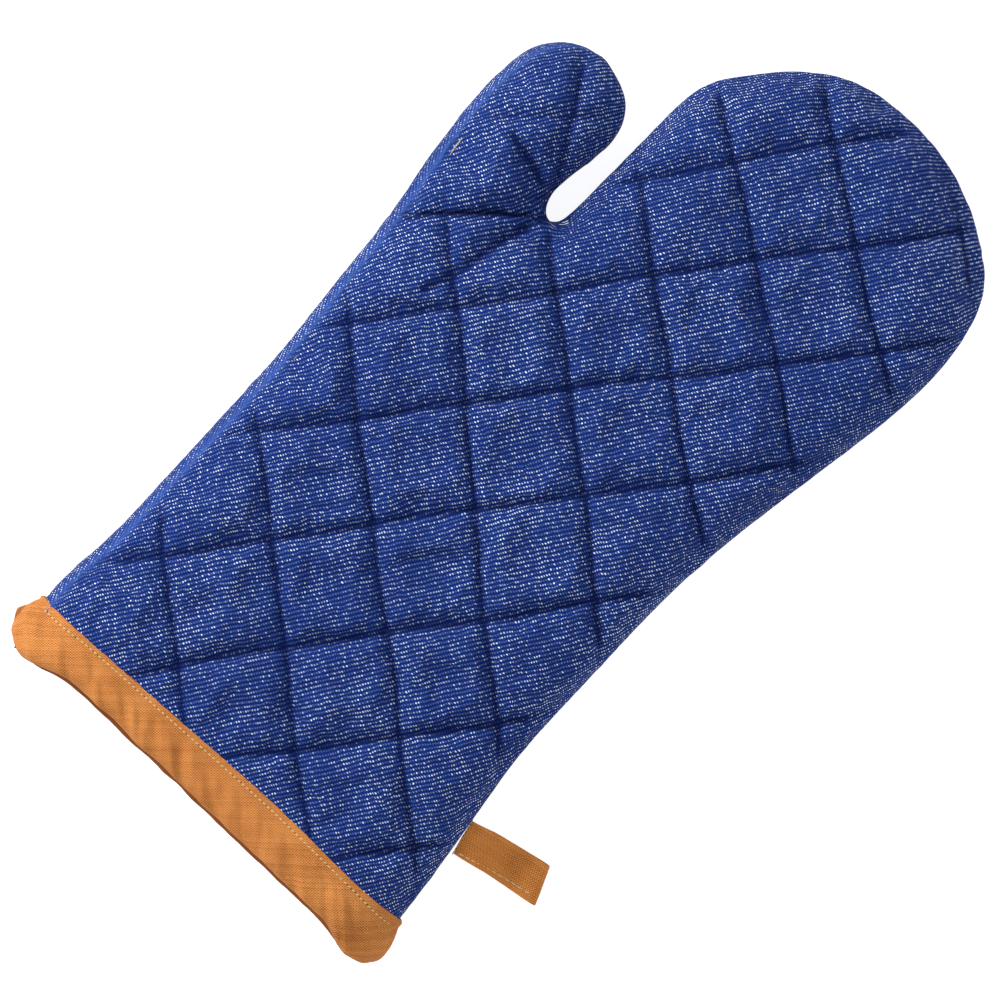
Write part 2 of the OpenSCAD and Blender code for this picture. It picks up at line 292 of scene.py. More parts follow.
# ---------------------------------------------------------------- flat panels
def flat_panel(inset, rings, cuff, front):
    """One panel laid flat: points, faces, and the outline points at its edge and their numbers."""
    used = np.flatnonzero(outline[:, 1] > cuff + 0.6)
    border = outline[used] + inward[used] * inset[used, None]
    left = np.array([border[0][0], cuff])
    right = np.array([border[-1][0], cuff])
    cuff_edge = resampled([right, left], GRID_STEP)
    points = [border, cuff_edge]
    count = len(border)
    for ring in rings[1:]:
        line = outline[used] + inward[used] * (inset[used, None] + ring)
        gap, where = nearest(line, outline)
        points.append(line[gap > 0.93 * (inset[used] + ring)])
    lines = [stroke[0] for stroke in strokes_on(front)]
    sewn = np.vstack(lines)
    gap, where = nearest(sewn, outline)
    sewn = sewn[(gap > inset[where] + rings[-1] + 0.9) & (sewn[:, 1] > cuff + 1)]
    sewn = sewn[is_inside(sewn, np.vstack([border, cuff_edge]))]
    steps = np.arange(-230, 230, GRID_STEP)
    across, along = np.meshgrid(steps, steps)
    across = across + 0.5 * GRID_STEP * (np.arange(len(steps)) % 2)[:, None]
    cosine, sine = math.cos(QUILT_TURN), math.sin(QUILT_TURN)
    grid = np.stack([
        across.ravel() * cosine - along.ravel() * sine,
        across.ravel() * sine + along.ravel() * cosine], axis=1)
    grid = grid[is_inside(grid, np.vstack([border, cuff_edge]))]
    gap, where = nearest(grid, outline)
    grid = grid[(gap > inset[where] + rings[-1] + 1.2) & (grid[:, 1] > cuff + 1.2)]
    for line in lines:
        grid = grid[nearest(grid, line)[0] > 1.25]
    sewn = thinned(sewn, 1.0)
    points += [sewn, grid]
    loop = list(range(count + len(cuff_edge)))
    edges = [(a, b) for a, b in zip(loop, loop[1:] + loop[:1])]
    fold = resampled([border[fold_from - used[0]], border[fold_to - used[0]]], LINE_STEP)[1:-1]
    stacked = np.vstack(points)
    clear = np.ones(len(stacked), bool)
    clear[len(loop):] = nearest(stacked[len(loop):], fold)[0] > 0.9
    stacked = stacked[clear]
    first = len(stacked)
    chain = [fold_from - used[0]] + list(range(first, first + len(fold))) + [fold_to - used[0]]
    stacked = np.vstack([stacked, fold])
    edges += list(zip(chain, chain[1:]))
    made = geometry.delaunay_2d_cdt([Vector(p) for p in stacked], edges, [], 1, 1e-4)
    flat = np.array([tuple(v) for v in made[0]])
    faces = [list(f) for f in made[2]]
    new_number = {old: new for new, group in enumerate(made[3]) for old in group}
    return flat, faces, used, np.array([new_number[i] for i in range(count)])


def thinned(points, least):
    """The points with no two closer than the least distance."""
    cells, kept = {}, []
    for point in points:
        key = tuple(np.floor(point / least).astype(int))
        near = [q for i in (-1, 0, 1) for j in (-1, 0, 1)
                for q in cells.get((key[0] + i, key[1] + j), [])]
        if all(np.hypot(*(point - q)) >= least for q in near):
            cells.setdefault(key, []).append(point)
            kept.append(point)
    return np.array(kept)


def dragged(flat):
    """How far the sewing has dragged the cloth's rows beside each steep line."""
    across = np.array([-math.sin(math.radians(ROW_DIRECTION)), math.cos(math.radians(ROW_DIRECTION))])
    normal = np.array([math.cos(QUILT_TURN), math.sin(QUILT_TURN)])
    total = np.zeros(len(flat))
    for line in family(STEEP_LINES, QUILT_TURN):
        gap, where = nearest(flat, line)
        after = (flat - line[where]) @ normal > 0
        total = np.maximum(total, np.where(after, DRAG * np.exp(-gap / DRAG_REACH), 0))
    return across * total[:, None]


def unrolled(distance, crown):
    """How much further the cloth runs than its plan does, from the crown to each point."""
    places = np.linspace(0, EDGE_ROUNDING, 600)
    steps = np.hypot(np.diff(places), np.diff(crown * dome(places))) - np.diff(places)
    total = np.r_[np.cumsum(steps[::-1])[::-1], 0]
    return np.interp(distance, places, total)


def shaped_panel(front):
    """One panel in its rest form: points, faces, thumb flags and cloth attributes."""
    inset = seam_inset if front else np.zeros(len(outline))
    rings, cuff = (FRONT_RINGS, FRONT_CUFF) if front else (BACK_RINGS, BACK_CUFF)
    flat, faces, used, border = flat_panel(inset, rings, cuff, front)
    distance, where = nearest(flat, outline)
    past_seam = distance - inset[where]
    depth, closeness = groove(flat, past_seam, front)
    if front:
        height = front_height(flat, distance) - depth
        # edge raises the left seam's ridge and also carries its painted highlight.
        edge = np.exp(-(past_seam / RIDGE_WIDTH) ** 2) * on_left_edge[where]
        height += RIDGE * edge
        held = past_seam < 0.05
    else:
        height = np.maximum(back_height(flat, distance) + 0.8 * depth, 0)
        edge = np.zeros(len(flat))
        held = distance < 0.05
    held = held | (closeness > 0.72) | (flat[:, 1] < BINDING_HIGH + 6.5)
    points = np.column_stack([flat, height])
    thumb = [on_thumb(flat[face].mean(0)[None])[0] > 0 for face in faces]
    crown = FRONT_CROWN if front else BACK_CROWN
    cloth = flat + dragged(flat) - inward[where] * unrolled(distance, crown)[:, None]
    if not front:
        points, faces, thumb, cloth, held, edge, closeness = with_strip(
            points, faces, thumb, cloth, held, edge, closeness, used, border)
    return points, faces, np.array(thumb), cloth, held, edge, closeness


def with_strip(points, faces, thumb, cloth, held, edge, closeness, used, border):
    """Adds the part of the back panel that wraps up round the edge to the seam."""
    rows = [border]
    flat_border = outline[used]
    cloth_border = cloth[border]
    for share in STRIP_ROWS:
        tuck = on_left_edge[used] * (share == 1)
        off = seam_inset[used] * (share + TUCK * tuck)
        flat = flat_border + inward[used] * off[:, None]
        height = front_height(flat, off) - TUCK_DEPTH * tuck
        near = np.exp(-((seam_inset[used] - off) / RIDGE_WIDTH) ** 2) * on_left_edge[used]
        rows.append(np.arange(len(used)) + len(points))
        points = np.vstack([points, np.column_stack([flat, height + RIDGE * near])])
        reach = np.hypot(off, height - SEAM_Z)
        cloth = np.vstack([cloth, cloth_border - inward[used] * reach[:, None]])
        held = np.r_[held, np.ones(len(used), bool)]
        edge = np.r_[edge, near]
        closeness = np.r_[closeness, np.zeros(len(used))]
    ends = sorted((fold_from - used[0], fold_to - used[0]))
    for low, high in zip(rows, rows[1:]):
        for i in range(len(used) - 1):
            faces.append([low[i], low[i + 1], high[i + 1], high[i]])
            thumb.append(ends[0] <= i < ends[1])
    return points, faces, thumb, cloth, held, edge, closeness


# ---------------------------------------------------------------- cloth simulation
SIM_FRAMES = 20
MOVE_LIMIT = 3.4


def simulated(points, faces, held):
    """The panel's points after pressure has pushed the cloth out between the seams."""
    mesh = bpy.data.meshes.new("sim")
    mesh.from_pydata((points * MM).tolist(), [], [list(map(int, f)) for f in faces])
    mesh.update()
    piece = bpy.data.objects.new("sim", mesh)
    bpy.context.scene.collection.objects.link(piece)
    pins = piece.vertex_groups.new(name="pins")
    pins.add(np.flatnonzero(held).tolist(), 1.0, "REPLACE")
    cloth = piece.modifiers.new("cloth", "CLOTH")
    settings = cloth.settings
    settings.quality = 5
    settings.mass = 0.3
    settings.tension_stiffness = 12
    settings.compression_stiffness = 12
    settings.shear_stiffness = 4
    settings.bending_stiffness = 0.25
    settings.vertex_group_mass = "pins"
    settings.pin_stiffness = 1
    settings.use_pressure = True
    settings.uniform_pressure_force = 5.0
    settings.shrink_min = -0.06
    settings.effector_weights.gravity = 0
    cloth.collision_settings.use_collision = False
    cloth.collision_settings.use_self_collision = False
    cloth.point_cache.frame_start = 1
    cloth.point_cache.frame_end = SIM_FRAMES
    scene = bpy.context.scene
    for number in range(1, SIM_FRAMES + 1):
        scene.frame_set(number)
    evaluated = piece.evaluated_get(bpy.context.evaluated_depsgraph_get())
    moved = np.zeros(len(points) * 3)
    evaluated.data.vertices.foreach_get("co", moved)
    moved = moved.reshape(-1, 3) / MM
    scene.frame_set(1)
    bpy.data.objects.remove(piece)
    shift = moved - points
    shift[held] = 0
    length = np.linalg.norm(shift, axis=1)
    shift *= (np.minimum(length, MOVE_LIMIT) / np.maximum(length, 1e-9))[:, None]
    result = points + shift
    result[:, 2] = np.maximum(result[:, 2], 0)
    return result


# ---------------------------------------------------------------- mesh helpers
def mesh_object(name, points, faces, material):
    """A smooth piece made from points in millimetres."""
    mesh = bpy.data.meshes.new(name)
    mesh.from_pydata((np.asarray(points) * MM).tolist(), [], [list(map(int, f)) for f in faces])
    mesh.update()
    mesh.validate()
    mesh.shade_smooth()
    piece = bpy.data.objects.new(name, mesh)
    bpy.context.scene.collection.objects.link(piece)
    mesh.materials.append(material)
    return piece


def set_attribute(piece, name, values):
    """Stores one number or one point for each vertex, under a name the materials read."""
    values = np.asarray(values, np.float32)
    kind, field = ("FLOAT", "value") if values.ndim == 1 else ("FLOAT_VECTOR", "vector")
    attribute = piece.data.attributes.new(name, kind, "POINT")
    attribute.data.foreach_set(field, values.ravel())


def apply_modifiers(piece):
    """Keeps the mesh as the modifiers leave it, and takes them off."""
    graph = bpy.context.evaluated_depsgraph_get()
    graph.update()
    mesh = bpy.data.meshes.new_from_object(piece.evaluated_get(graph), depsgraph=graph)
    piece.modifiers.clear()
    old = piece.data
    piece.data = mesh
    bpy.data.meshes.remove(old)


def joined_to_quads(piece):
    """Turns most of the panel's triangles into quads, which subdivide more smoothly."""
    work = bmesh.new()
    work.from_mesh(piece.data)
    bmesh.ops.join_triangles(
        work, faces=work.faces, angle_face_threshold=math.radians(50),
        angle_shape_threshold=math.radians(50))
    work.to_mesh(piece.data)
    work.free()


def normals_of(points, faces):
    """Vertex normals from the faces, each weighted by its area."""
    total = np.zeros_like(points)
    for size in (3, 4):
        group = np.array([f for f in faces if len(f) == size])
        if len(group):
            corners = points[group]
            if size == 3:
                turn = np.cross(corners[:, 1] - corners[:, 0], corners[:, 2] - corners[:, 0])
            else:
                turn = np.cross(corners[:, 2] - corners[:, 0], corners[:, 3] - corners[:, 1])
            for column in range(size):
                np.add.at(total, group[:, column], turn)
    return total / np.maximum(np.linalg.norm(total, axis=1), 1e-9)[:, None]


def part_of(points, faces, chosen):
    """The chosen faces with only their own points, and those points' numbers."""
    faces = [f for f, keep in zip(faces, chosen) if keep]
    numbers = np.unique([i for f in faces for i in f])
    renumber = {old: new for new, old in enumerate(numbers)}
    return points[numbers], [[renumber[i] for i in f] for f in faces], numbers


def closed_between(outer, inner, faces):
    """A closed layer between two sheets that share their faces."""
    count = len(outer)
    uses = {}
    for face in faces:
        for a, b in zip(face, face[1:] + face[:1]):
            uses[(a, b)] = uses.get((a, b), 0) + 1
    border = [(a, b) for a, b in uses if (b, a) not in uses]
    walls = [[b, a, a + count, b + count] for a, b in border]
    back = [[i + count for i in reversed(f)] for f in faces]
    return np.vstack([outer, inner]), faces + back + walls


# ---------------------------------------------------------------- materials
def channel(value):
    value /= 255
    return value / 12.92 if value <= 0.04045 else ((value + 0.055) / 1.055) ** 2.4


def srgb(red, green, blue):
    return tuple(channel(v) for v in (red, green, blue)) + (1.0,)


# A Mix node's colour sockets, which share their names with its number sockets
COLOUR_A, COLOUR_B, COLOUR_RESULT = 6, 7, 2


class Nodes:
    """Short calls for a material's nodes. A value is a number or another node's socket."""

    def __init__(self, name, roughness, specular, sheen=0.0, sheen_tint=(1, 1, 1, 1)):
        self.material = bpy.data.materials.new(name)
        self.material.use_nodes = True
        self.tree = self.material.node_tree
        self.shader = self.tree.nodes["Principled BSDF"]
        self.shader.inputs["Roughness"].default_value = roughness
        self.shader.inputs["Specular IOR Level"].default_value = specular
        self.shader.inputs["Sheen Weight"].default_value = sheen
        self.shader.inputs["Sheen Roughness"].default_value = 0.5
        self.shader.inputs["Sheen Tint"].default_value = sheen_tint

    def put(self, socket, value):
        if isinstance(value, bpy.types.NodeSocket):
            self.tree.links.new(value, socket)
        else:
            socket.default_value = value

    def math(self, operation, first, second=0.0, third=None):
        node = self.tree.nodes.new("ShaderNodeMath")
        node.operation = operation
        self.put(node.inputs[0], first)
        self.put(node.inputs[1], second)
        if third is not None:
            self.put(node.inputs[2], third)
        return node.outputs[0]

    def attribute(self, name, output):
        node = self.tree.nodes.new("ShaderNodeAttribute")
        node.attribute_name = name
        return node.outputs[output]

    def object_coordinates(self):
        return self.tree.nodes.new("ShaderNodeTexCoord").outputs["Object"]

    def split(self, vector):
        node = self.tree.nodes.new("ShaderNodeSeparateXYZ")
        self.put(node.inputs[0], vector)
        return node.outputs

    def joined(self, x, y, z=0.0):
        node = self.tree.nodes.new("ShaderNodeCombineXYZ")
        for socket, value in zip(node.inputs, (x, y, z)):
            self.put(socket, value)
        return node.outputs[0]

    def noise(self, vector, scale, detail=2.0):
        node = self.tree.nodes.new("ShaderNodeTexNoise")
        self.put(node.inputs["Vector"], vector)
        node.inputs["Scale"].default_value = scale
        node.inputs["Detail"].default_value = detail
        return node.outputs["Fac"]

    def random(self, vector):
        node = self.tree.nodes.new("ShaderNodeTexWhiteNoise")
        self.put(node.inputs["Vector"], vector)
        return node.outputs["Value"]

    def fade(self, value, low, high, to_low=0.0, to_high=1.0):
        node = self.tree.nodes.new("ShaderNodeMapRange")
        node.interpolation_type = "SMOOTHSTEP"
        for socket, number in zip(node.inputs, (value, low, high, to_low, to_high)):
            self.put(socket, number)
        return node.outputs[0]

    def mix(self, share, first, second):
        node = self.tree.nodes.new("ShaderNodeMix")
        node.data_type = "RGBA"
        self.put(node.inputs["Factor"], share)
        self.put(node.inputs[COLOUR_A], first)
        self.put(node.inputs[COLOUR_B], second)
        return node.outputs[COLOUR_RESULT]

    def bump(self, height, depth, strength=1.0):
        node = self.tree.nodes.new("ShaderNodeBump")
        node.inputs["Strength"].default_value = strength
        node.inputs["Distance"].default_value = depth * MM
        self.put(node.inputs["Height"], height)
        self.put(self.shader.inputs["Normal"], node.outputs[0])

    def colour(self, value):
        self.put(self.shader.inputs["Base Color"], value)


def turned(nodes, vector, degrees):
    """The vector's coordinates along and across a direction, in millimetres."""
    x, y, _ = nodes.split(vector)
    turn = math.radians(degrees)
    pairs = []
    for a, b in ((math.cos(turn), math.sin(turn)), (-math.sin(turn), math.cos(turn))):
        pairs.append(nodes.math(
            "ADD", nodes.math("MULTIPLY", x, a / MM), nodes.math("MULTIPLY", y, b / MM)))
    return pairs


ROW_PITCH = 1.41
FLECK_PITCH = 0.86
FLECK_WIDTH = 0.3  # these three are shares of a pitch
FLECK_HEIGHT = 0.26
ROW_SHIFT = 0.28
WAVE = 2 * math.pi


def twill_material():
    """Blue cotton twill: dark ribs, rows of pale flecks where the warp shows, painted shade near the
    grooves and a painted highlight on the left seam's ridge.
    """
    nodes = Nodes("denim_twill", 0.9, 0.08, 0.02, srgb(90, 120, 190))
    cloth = nodes.attribute("cloth", "Vector")
    along, across = turned(nodes, cloth, ROW_DIRECTION)
    drift = nodes.noise(cloth, 60.0, 2.0)
    rows = nodes.math("ADD", nodes.math("DIVIDE", across, ROW_PITCH), nodes.math("MULTIPLY", drift, 0.5))
    row = nodes.math("FLOOR", rows)
    row_place = nodes.math("SUBTRACT", nodes.math("FRACT", rows), 0.5)
    shift = nodes.math("MULTIPLY", row, ROW_SHIFT)
    wobble = nodes.math("MULTIPLY", nodes.noise(cloth, 300.0, 1.0), 0.8)
    columns = nodes.math("ADD", nodes.math("ADD", nodes.math("DIVIDE", along, FLECK_PITCH), shift), wobble)
    column = nodes.math("FLOOR", columns)
    column_place = nodes.math("SUBTRACT", nodes.math("FRACT", columns), 0.5)
    chance = nodes.random(nodes.joined(row, column))
    broad = nodes.noise(cloth, 22.0, 3.0)
    slant = nodes.math("ADD", column_place, nodes.math("MULTIPLY", row_place, 0.45))
    wide = nodes.math("DIVIDE", slant, FLECK_WIDTH)
    high = nodes.math("DIVIDE", row_place, FLECK_HEIGHT)
    gap = nodes.math("SQRT", nodes.math(
        "ADD", nodes.math("MULTIPLY", wide, wide), nodes.math("MULTIPLY", high, high)))
    spot = nodes.fade(gap, 0.45, 1.15, 1.0, 0.0)
    chance = nodes.math("ADD", chance, nodes.math("MULTIPLY_ADD", broad, 0.9, -0.45))
    strength = nodes.fade(chance, 0.3, 1.2, 0.12, 1.25)
    edge = nodes.attribute("edge", "Fac")
    fleck = nodes.math("MULTIPLY", nodes.math("MULTIPLY", spot, strength),
                       nodes.math("SUBTRACT", 1.0, nodes.math("MULTIPLY", edge, 0.9)))
    rib = nodes.math("COSINE", nodes.math("MULTIPLY", row_place, WAVE))
    rib = nodes.math("MULTIPLY_ADD", rib, 0.5, 0.5)
    fuzz = nodes.noise(cloth, 2600.0, 3.0)
    shade = nodes.math("ADD", nodes.math("MULTIPLY", rib, 0.4), nodes.math("MULTIPLY", fuzz, 0.85))
    shade = nodes.math("ADD", shade, nodes.math("MULTIPLY_ADD", broad, 0.35, -0.27))
    blue = nodes.mix(shade, srgb(0, 16, 72), srgb(24, 60, 142))
    # Painted highlight: the left seam's ridge is lightened as if it faced the lamp; its flecks fade with
    # it.
    blue = nodes.mix(nodes.math("MULTIPLY", edge, 0.6), blue, srgb(66, 100, 180))
    blue = nodes.mix(fleck, blue, srgb(236, 246, 255))
    # Painted shade: the colour darkens towards deep blue near the quilting grooves and creases.
    closeness = nodes.attribute("groove", "Fac")
    dark = nodes.fade(closeness, 0.35, 1.0, 0.0, 0.78)
    nodes.colour(nodes.mix(dark, blue, srgb(1, 16, 68)))
    height = nodes.math("ADD", nodes.math("MULTIPLY", rib, 0.55), nodes.math("MULTIPLY", spot, 0.5))
    nodes.bump(nodes.math("ADD", height, nodes.math("MULTIPLY", fuzz, 0.35)), 0.28)
    return nodes.material


def plain_weave_material(name, degrees, pitch, colours):
    """Plain weave: threads over and under each other at a pitch, in two directions, with painted shade
    where the inside attribute is set.
    """
    nodes = Nodes(name, 0.8, 0.1, 0.02, colours[1])
    cloth = nodes.attribute("cloth", "Vector")
    along, across = turned(nodes, cloth, degrees)
    drift = nodes.math("MULTIPLY", nodes.noise(cloth, 300.0, 2.0), 0.8)
    warp = nodes.math("ADD", nodes.math("DIVIDE", along, pitch[0]), drift)
    weft = nodes.math("ADD", nodes.math("DIVIDE", across, pitch[1]), drift)
    waves = [nodes.math("SINE", nodes.math("MULTIPLY", v, WAVE)) for v in (warp, weft)]
    over = nodes.math("MULTIPLY_ADD", nodes.math("MULTIPLY", *waves), 0.5, 0.5)
    line = nodes.math("MULTIPLY_ADD", waves[1], 0.5, 0.5)
    thread = nodes.random(nodes.joined(0.0, nodes.math("FLOOR", weft)))
    fuzz = nodes.noise(cloth, 2400.0, 3.0)
    broad = nodes.noise(cloth, 60.0, 3.0)
    shade = nodes.math("ADD", nodes.math("MULTIPLY", over, 0.75), nodes.math("MULTIPLY", line, 0.12))
    shade = nodes.math("ADD", shade, nodes.math("MULTIPLY_ADD", fuzz, 0.8, -0.3))
    shade = nodes.math("ADD", shade, nodes.math("MULTIPLY_ADD", broad, 0.7, -0.35))
    shade = nodes.math("ADD", shade, nodes.math("MULTIPLY_ADD", thread, 0.14, -0.07))
    tan = nodes.mix(shade, *colours)
    # Painted shade: the inside attribute mixes the tape towards its darkest tan.
    nodes.colour(nodes.mix(nodes.attribute("inside", "Fac"), tan, colours[0]))
    height = nodes.math("ADD", nodes.math("MULTIPLY", over, 0.6), nodes.math("MULTIPLY", line, 0.3))
    nodes.bump(nodes.math("ADD", height, nodes.math("MULTIPLY", fuzz, 0.4)), 0.18)
    return nodes.material


def thread_material(name, dark, light):
    """Twisted sewing thread, with a slight shine."""
    nodes = Nodes(name, 0.7, 0.2, 0.03, light)
    place = nodes.object_coordinates()
    x, y, z = nodes.split(place)
    twist = nodes.math("MULTIPLY", nodes.math("ADD", x, nodes.math("ADD", y, z)), WAVE / (0.35 * MM))
    wave = nodes.math("MULTIPLY_ADD", nodes.math("SINE", twist), 0.5, 0.5)
    fuzz = nodes.noise(place, 3000.0, 2.0)
    share = nodes.math("MULTIPLY_ADD", wave, 0.6, nodes.math("MULTIPLY", fuzz, 0.4))
    nodes.colour(nodes.mix(share, dark, light))
    nodes.bump(wave, 0.08)
    return nodes.material


def wadding_material():
    """Cotton wadding: matted fibres."""
    nodes = Nodes("wadding", 0.95, 0.1, 0.2, srgb(250, 246, 236))
    place = nodes.object_coordinates()
    mat = nodes.noise(place, 350.0, 6.0)
    stretched = [nodes.math("MULTIPLY", v, s) for v, s in zip(nodes.split(place), (1, 6, 2))]
    height = nodes.math("ADD", mat, nodes.noise(nodes.joined(*stretched), 900.0, 4.0))
    share = nodes.math("MULTIPLY", height, 0.55)
    nodes.colour(nodes.mix(share, srgb(196, 188, 170), srgb(242, 238, 226)))
    nodes.bump(height, 0.5)
    return nodes.material


FLOOR_GLOW = 0.86


def floor_material():
    nodes = Nodes("floor", 0.9, 0.1)
    place = nodes.object_coordinates()
    tone = nodes.fade(nodes.noise(place, 4.0, 2.0), 0.3, 0.7)
    nodes.colour(nodes.mix(tone, srgb(176, 176, 176), srgb(180, 180, 180)))
    nodes.shader.inputs["Emission Color"].default_value = (1, 1, 1, 1)
    nodes.shader.inputs["Emission Strength"].default_value = FLOOR_GLOW
    return nodes.material


def hole_shade_material():
    """Needle holes between the stitches, painted dark as the shade in them."""
    nodes = Nodes("needle_hole_shade", 0.9, 0.1)
    tone = nodes.noise(nodes.object_coordinates(), 2000.0, 2.0)
    nodes.colour(nodes.mix(tone, srgb(70, 36, 16), srgb(116, 66, 30)))
    return nodes.material


TWILL = twill_material()
TAN = (srgb(122, 56, 8), srgb(232, 156, 86))
LOOP_TAN = (srgb(122, 54, 4), srgb(246, 164, 86))
UNBLEACHED = (srgb(176, 168, 148), srgb(236, 230, 214))
BINDING = plain_weave_material("bias_binding", 41.3, (1.0, 0.86), TAN)
COTTON = plain_weave_material("lining", 0.0, (0.9, 0.8), UNBLEACHED)
LOOP_WEAVE = plain_weave_material("loop_weave", 2.0, (0.8, 1.0), LOOP_TAN)
BLUE_THREAD = thread_material("blue_thread", srgb(2, 14, 62), srgb(18, 42, 104))
CREAM_THREAD = thread_material("cream_thread", srgb(196, 156, 92), srgb(250, 232, 180))
WOOL = wadding_material()
HOLE_SHADE = hole_shade_material()


# ---------------------------------------------------------------- panels and their layers
def cloth_piece(name, points, faces, attributes, node, part):
    """A piece of outer cloth: subdivided, given its thickness and slightly uneven."""
    piece = mesh_object(name, points, faces, TWILL)
    for key, values in attributes.items():
        set_attribute(piece, key, values)
    joined_to_quads(piece)
    smooth = piece.modifiers.new("smooth", "SUBSURF")
    smooth.levels = smooth.render_levels = 1
    smooth.boundary_smooth = "ALL"
    apply_modifiers(piece)
    roughened(piece, 0.09, 240.0)
    thick = piece.modifiers.new("thick", "SOLIDIFY")
    thick.thickness = CLOTH * MM
    thick.offset = -1
    apply_modifiers(piece)
    piece.data.shade_smooth()
    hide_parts(node)
    attach(piece, part)


def roughened(piece, amount, scale):
    """Moves each vertex along its normal by fine noise, in millimetres."""
    mesh = piece.data
    places = np.zeros(len(mesh.vertices) * 3)
    normals = np.zeros(len(mesh.vertices) * 3)
    mesh.vertices.foreach_get("co", places)
    mesh.vertices.foreach_get("normal", normals)
    places, normals = places.reshape(-1, 3), normals.reshape(-1, 3)
    lift = np.array([noise.noise(p) + 0.5 * noise.noise(p * 2.3)
                     for p in map(Vector, (places * scale).tolist())])
    mesh.vertices.foreach_set("co", (places + normals * lift[:, None] * amount * MM).ravel())
    mesh.update()


def attach(piece, part):
    """Rides on the hand; a thumb piece keeps its place, with its transform baked in."""
    if part == "thumb":
        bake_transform(piece)
    else:
        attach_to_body(piece, "hand")


def inner_height(points, side):
    """Height of the pocket's wall, which the quilting also pulls in a little."""
    flat = points[:, :2]
    distance, _ = nearest(flat, outline)
    depth, _ = groove(flat, distance, False)
    wall = CLOTH + WADDING + LINING
    if side == "front":
        rise = front_height(flat, distance) + PUFF * 0.6 - SEAM_Z
    else:
        rise = SEAM_Z - np.maximum(back_height(flat, distance), 0)
    rise = np.maximum(rise - wall - 0.15 * depth, 0.5)
    return SEAM_Z + rise if side == "front" else SEAM_Z - rise


def make_panels():
    """Outer cloth, wadding and lining of both panels, each cut at the thumb's fold line."""
    made = {}
    for side in ("front", "back"):
        front = side == "front"
        points, faces, thumb, cloth, held, edge, closeness = shaped_panel(front)
        if normals_of(points, faces)[:, 2].sum() * (1 if front else -1) < 0:
            faces = [list(reversed(f)) for f in faces]
        points = simulated(points, faces, held)
        normal = normals_of(points, faces)
        under = points - normal * (CLOTH + GAP)
        _, where = nearest(points[:, :2], outline)
        under[:, :2] += inward[where] * (RIDGE_CLEARANCE * edge)[:, None]
        wall = inner_height(points, side)
        up = 1 if front else -1
        made[side] = (points, faces)
        for part, chosen in (("hand", ~thumb), ("thumb", thumb)):
            prefix = side if part == "hand" else f"thumb_{side}"
            mine, own, numbers = part_of(points, faces, chosen)
            # The groove attribute carries the nearness to a groove, which paints shade into the twill.
            attributes = {
                "cloth": np.column_stack([cloth[numbers], np.zeros(len(numbers))]) * MM,
                "edge": edge[numbers], "groove": closeness[numbers]}
            cloth_piece(f"{prefix}_cloth", mine, own, attributes, f"{prefix}_shell", part)
            layers(prefix, part, under[numbers], wall[numbers], own, up)
    return made


def layers(prefix, part, under, wall, faces, up):
    """The wadding and the lining between the outer cloth and the pocket."""
    wadding_under = wall + up * LINING
    gap = (under[:, 2] - wadding_under) * up
    wadding_under = np.where(gap < 0.3, under[:, 2] - up * 0.3, wadding_under)
    inner = np.column_stack([under[:, :2], wadding_under])
    wadding = mesh_object(f"{prefix}_wadding_mat", *closed_between(under, inner, faces), WOOL)
    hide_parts(f"{prefix}_wadding")
    attach(wadding, part)
    outer = inner - (0, 0, up * 0.08)
    pocket = outer - (0, 0, up * (LINING - 0.12))
    points, closed = closed_between(outer, pocket, faces)
    lining = mesh_object(f"{prefix}_lining_cloth", points, closed, COTTON)
    set_attribute(lining, "cloth", points * MM)
    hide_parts(f"{prefix}_lining")
    attach(lining, part)


# ---------------------------------------------------------------- thread
def capsule(centre, along, up, length, width, height, sides=6):
    """A stitch: a short rounded bar along a direction. Returns points and faces."""
    along, up = np.asarray(along, float), np.asarray(up, float)
    along = along / max(np.linalg.norm(along), 1e-9)
    across = np.cross(up, along)
    across /= max(np.linalg.norm(across), 1e-9)
    up = np.cross(along, across)
    rings = [(-0.5, 0.0), (-0.42, 0.62), (-0.22, 0.95), (0.22, 0.95), (0.42, 0.62), (0.5, 0.0)]
    points = [centre + along * rings[0][0] * length]
    for place, share in rings[1:-1]:
        for i in range(sides):
            turn = 2 * math.pi * i / sides
            points.append(centre + along * place * length
                          + across * math.cos(turn) * share * width / 2
                          + up * math.sin(turn) * share * height / 2)
    points.append(centre + along * rings[-1][0] * length)
    faces = []
    rows = len(rings) - 2
    for i in range(sides):
        j = (i + 1) % sides
        faces.append([0, 1 + j, 1 + i])
        for row in range(rows - 1):
            a, b = 1 + row * sides, 1 + (row + 1) * sides
            faces.append([a + i, a + j, b + j, b + i])
        last = 1 + (rows - 1) * sides
        faces.append([last + i, last + j, len(points) - 1])
    return np.array(points), faces


def many(parts):
    """Several (points, faces) as one."""
    points, faces, count = [], [], 0
    for own, own_faces in parts:
        points.append(own)
        faces += [[i + count for i in f] for f in own_faces]
        count += len(own)
    return np.vstack(points), faces


def height_lookup(points, faces):
    """A function that drops a line on a panel and returns where it meets and the normal."""
    tree = BVHTree.FromPolygons([tuple(p) for p in points], [tuple(map(int, f)) for f in faces])

    def look(x, y, from_above):
        start, way = (60, -1) if from_above else (-30, 1)
        place, normal, _, _ = tree.ray_cast(Vector((x, y, start)), Vector((0, 0, way)))
        if place is None:
            return None
        normal = np.array(normal)
        return np.array(place), normal if normal[2] * -way > 0 else -normal
    return look


def stitches_along(line, look, from_above, pitch, length, width, sunk):
    """Stitches laid on a panel along a line seen from above."""
    spots = resampled(line, pitch)
    parts = []
    for before, spot, after in zip(spots, spots[1:], spots[2:]):
        ends = [look(*p, from_above) for p in ((before + spot) / 2, spot, (spot + after) / 2)]
        if all(e is not None for e in ends):
            place, normal = ends[1]
            parts.append(capsule(place - normal * sunk, ends[2][0] - ends[0][0], normal,
                                 length, width, width * 0.8))
    return parts


